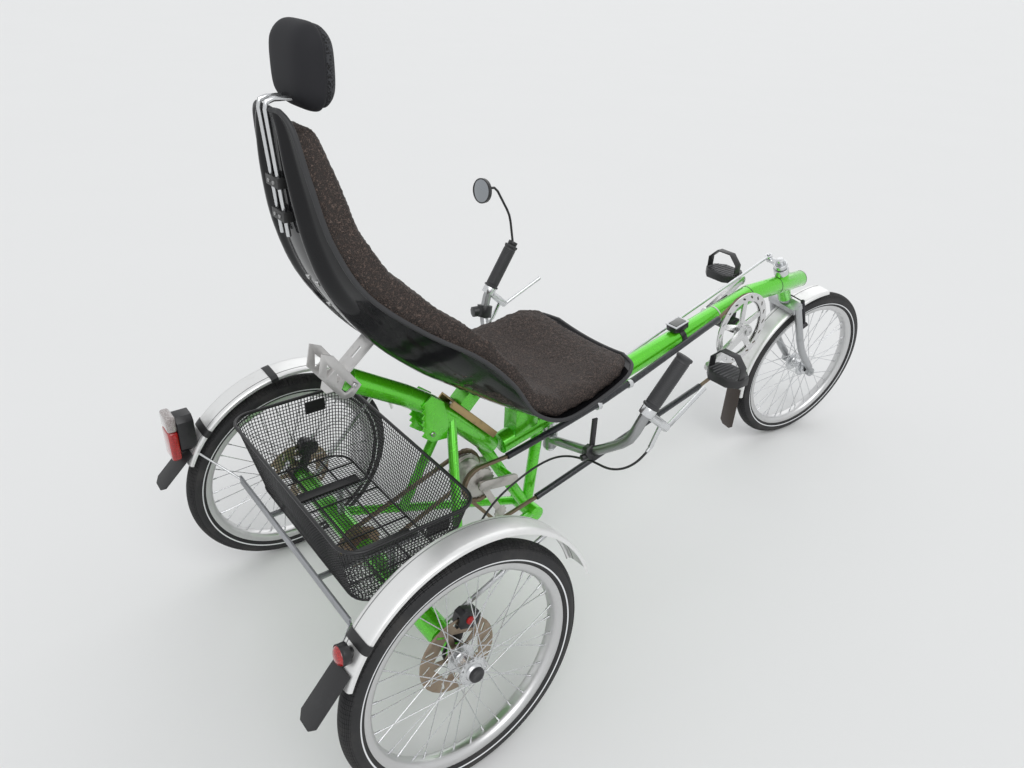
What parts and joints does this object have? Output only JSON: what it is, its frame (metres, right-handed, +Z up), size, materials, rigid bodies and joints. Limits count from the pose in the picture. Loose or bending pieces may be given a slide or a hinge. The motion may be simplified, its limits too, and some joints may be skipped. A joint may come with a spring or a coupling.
{
  "type": "recumbent delta tricycle",
  "caption": "Long low tricycle with one steered wheel in front, two cambered rear wheels, a reclined mat seat, under-seat handlebar, chain drive and rear basket.",
  "frame": {"origin": "on the ground under the middle of the whole length and width", "axes": "+X forward, +Y to the rider's left, +Z up"},
  "size_m": [2.0976, 0.8228, 1.2721],
  "materials": {
    "tyre_rubber": "matte black tyre rubber",
    "rubber": "matte black rubber",
    "rim_alloy": "satin aluminium",
    "bright_steel": "satin steel",
    "worn_steel": "browned steel",
    "black_metal": "satin black",
    "green_paint": "gloss metallic lime green",
    "fender_alloy": "brushed aluminium",
    "black_plastic": "satin black plastic",
    "gloss_shell": "gloss black laminate",
    "mat_fabric": "curled filament mat, dark brown",
    "pad_fabric": "black spacer mesh",
    "red_lens": "clear red lens",
    "gold_alloy": "gold anodised, worn",
    "gear_alloy": "cast aluminium, stained",
    "grey_alloy": "grey satin aluminium"
  },
  "bodies": {
    "frame": {"axle_tubes": "green_paint", "axle_stays": "green_paint", "brake_calipers": "black_metal", "fender_stays": "bright_steel", "axle_sprocket": "worn_steel", "boom_tube": "green_paint", "arch_tube": "green_paint", "struts": "green_paint", "boom_end_cap": "black_plastic", "bottom_bracket": "black_metal", "gear_hub": "gear_alloy", "gear_plates": "worn_steel", "chains": "worn_steel", "chain_tubes": "black_plastic", "tube_clips": "bright_steel", "seat_shell": "gloss_shell", "seat_mat": "mat_fabric", "seat_rail": "gold_alloy", "seat_supports": "green_paint", "backrest_bracket": "bright_steel", "headrest_pad": "pad_fabric", "headrest_rods": "bright_steel", "headrest_clamps": "black_plastic", "basket": "black_metal", "rear_carrier": "grey_alloy", "rear_fenders": "fender_alloy", "rear_flaps": "rubber", "lamp_bases": "black_plastic", "lamp_lenses": "red_lens", "bar_pivot": "bright_steel", "bike_computer": "black_plastic"},
    "fork": {"fork": "bright_steel", "headset_cap": "bright_steel", "steering_arm": "bright_steel", "fender_front": "fender_alloy", "flap_front": "rubber", "front_brake": "black_metal"},
    "front_wheel": {"tyre_front": "tyre_rubber", "rim_front": "rim_alloy", "hub_front": "bright_steel"},
    "rear_wheel_left": {"tyre_left": "tyre_rubber", "rim_left": "rim_alloy", "hub_left": "bright_steel", "hub_cap_left": "black_plastic", "brake_disc_left": "worn_steel"},
    "rear_wheel_right": {"tyre_right": "tyre_rubber", "rim_right": "rim_alloy", "hub_right": "bright_steel", "hub_cap_right": "black_plastic", "brake_disc_right": "worn_steel"},
    "handlebar": {"handlebar": "grey_alloy", "grips": "rubber", "brake_levers": "bright_steel", "bar_clamps": "black_plastic", "mirror": "black_plastic"},
    "steering_rod": {"steering_rod": "bright_steel"},
    "cranks": {"crankset": "bright_steel"},
    "pedal_left": {"pedal_left": "black_plastic"},
    "pedal_right": {"pedal_right": "black_plastic"}
  },
  "joints": [
    {"name": "steering", "type": "hinge", "parent": "frame", "child": "fork", "pos_m": [0.57095, 0, 0.64], "axis": [-0.4695, 0, 0.8829], "range_deg": [-26.5, 43.5]},
    {"name": "front_wheel_spin", "type": "hinge", "parent": "fork", "child": "front_wheel", "pos_m": [0.79977, -0.00282, 0.24992], "axis": [0.1305, 0.989, 0.0694], "continuous": true},
    {"name": "rear_wheel_left_spin", "type": "hinge", "parent": "frame", "child": "rear_wheel_left", "pos_m": [-0.74505, 0.371, 0.24999], "axis": [0, 0.9973, 0.0732], "continuous": true},
    {"name": "rear_wheel_right_spin", "type": "hinge", "parent": "frame", "child": "rear_wheel_right", "pos_m": [-0.74505, -0.371, 0.24999], "axis": [0, 0.9973, -0.0732], "continuous": true},
    {"name": "crank_spin", "type": "hinge", "parent": "frame", "child": "cranks", "pos_m": [0.37095, 0, 0.504], "axis": [0, 1, 0], "continuous": true},
    {"name": "pedal_left_spin", "type": "hinge", "parent": "cranks", "child": "pedal_left", "pos_m": [0.5034, 0.128, 0.57442], "axis": [0, 1, 0], "continuous": true},
    {"name": "pedal_right_spin", "type": "hinge", "parent": "cranks", "child": "pedal_right", "pos_m": [0.23851, -0.128, 0.43358], "axis": [0, 1, 0], "continuous": true},
    {"name": "bar_turn", "type": "hinge", "parent": "frame", "child": "handlebar", "pos_m": [-0.24505, 0, 0.345], "axis": [0, 0, 1], "range_deg": [-26.5, 43.5]},
    {"name": "rod_turn", "type": "hinge", "parent": "handlebar", "child": "steering_rod", "pos_m": [-0.23839, 0.04451, 0.3675], "axis": [-0.0037, -0.0248, 0.9997], "range_deg": [-43.5, 26.5]}
  ],
  "couplings": [
    {"joint": "bar_turn", "follows": "steering", "ratio": 1},
    {"joint": "rod_turn", "follows": "steering", "ratio": -1}
  ]
}
